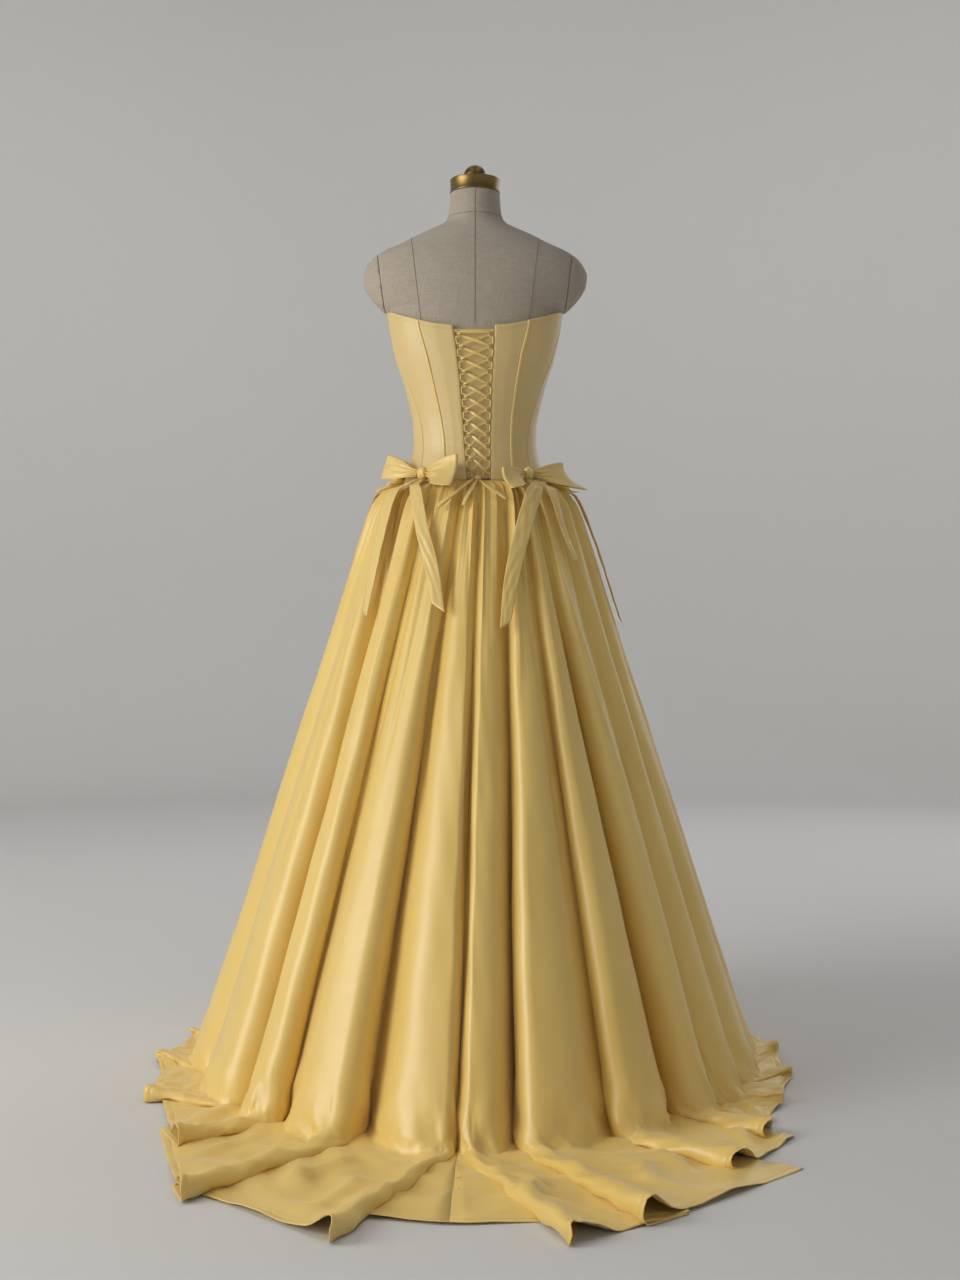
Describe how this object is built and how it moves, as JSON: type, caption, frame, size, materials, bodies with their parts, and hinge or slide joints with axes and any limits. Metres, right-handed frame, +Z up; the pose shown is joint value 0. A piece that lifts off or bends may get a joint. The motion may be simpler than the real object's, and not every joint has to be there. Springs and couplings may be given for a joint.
{
  "type": "laced corset ball gown on a limbless dress form",
  "caption": "Strapless satin ball gown with a laced corset back, ribbon bows and a gathered, trained skirt, standing on a limbless linen dress form with a round base.",
  "frame": {"origin": "centre of the underside of the stand's round base, on the form's axis", "axes": "+Z up along the form's axis, the gown's front towards -Y, the wearer's left towards +X"},
  "size_m": [1.1518, 1.4695, 1.6593],
  "materials": {
    "bodice_satin": "soft butter-yellow satin",
    "skirt_satin": "butter-yellow satin with a sheen",
    "ribbon_satin": "narrow satin ribbon",
    "form_linen": "matt warm grey linen",
    "cap_brass": "antique satin brass",
    "stand_steel": "dark satin paint"
  },
  "bodies": {
    "root": {"bodice_back_left": "bodice_satin", "bodice_back_right": "bodice_satin", "bodice_front": "bodice_satin", "bodice_side_back_left": "bodice_satin", "bodice_side_back_right": "bodice_satin", "bodice_side_front_left": "bodice_satin", "bodice_side_front_right": "bodice_satin", "bow_back_left_knot": "ribbon_satin", "bow_back_left_loop_inner": "ribbon_satin", "bow_back_left_loop_outer": "ribbon_satin", "bow_back_left_tail_inner": "ribbon_satin", "bow_back_left_tail_outer": "ribbon_satin", "bow_back_right_knot": "ribbon_satin", "bow_back_right_loop_inner": "ribbon_satin", "bow_back_right_loop_outer": "ribbon_satin", "bow_back_right_tail_inner": "ribbon_satin", "bow_back_right_tail_outer": "ribbon_satin", "bow_side_left_knot": "ribbon_satin", "bow_side_left_loop_back": "ribbon_satin", "bow_side_left_loop_front": "ribbon_satin", "bow_side_left_tail_back": "ribbon_satin", "bow_side_left_tail_front": "ribbon_satin", "bow_side_right_knot": "ribbon_satin", "bow_side_right_loop_back": "ribbon_satin", "bow_side_right_loop_front": "ribbon_satin", "bow_side_right_tail_back": "ribbon_satin", "bow_side_right_tail_front": "ribbon_satin", "form_arm_plate_left": "form_linen", "form_arm_plate_right": "form_linen", "form_torso": "form_linen", "lace": "ribbon_satin", "lace_bow_loop": "ribbon_satin", "lace_end_left": "ribbon_satin", "lace_end_right": "ribbon_satin", "lace_knot": "ribbon_satin", "loop_strip_left": "ribbon_satin", "loop_strip_right": "ribbon_satin", "modesty_panel": "bodice_satin", "neck_cap": "cap_brass", "neck_finial": "cap_brass", "seam_casing_left": "ribbon_satin", "seam_casing_right": "ribbon_satin", "skirt_back_left": "skirt_satin", "skirt_back_right": "skirt_satin", "skirt_front": "skirt_satin", "skirt_side_left": "skirt_satin", "skirt_side_right": "skirt_satin", "stand_base": "stand_steel", "stand_pole": "stand_steel"}
  },
  "joints": []
}
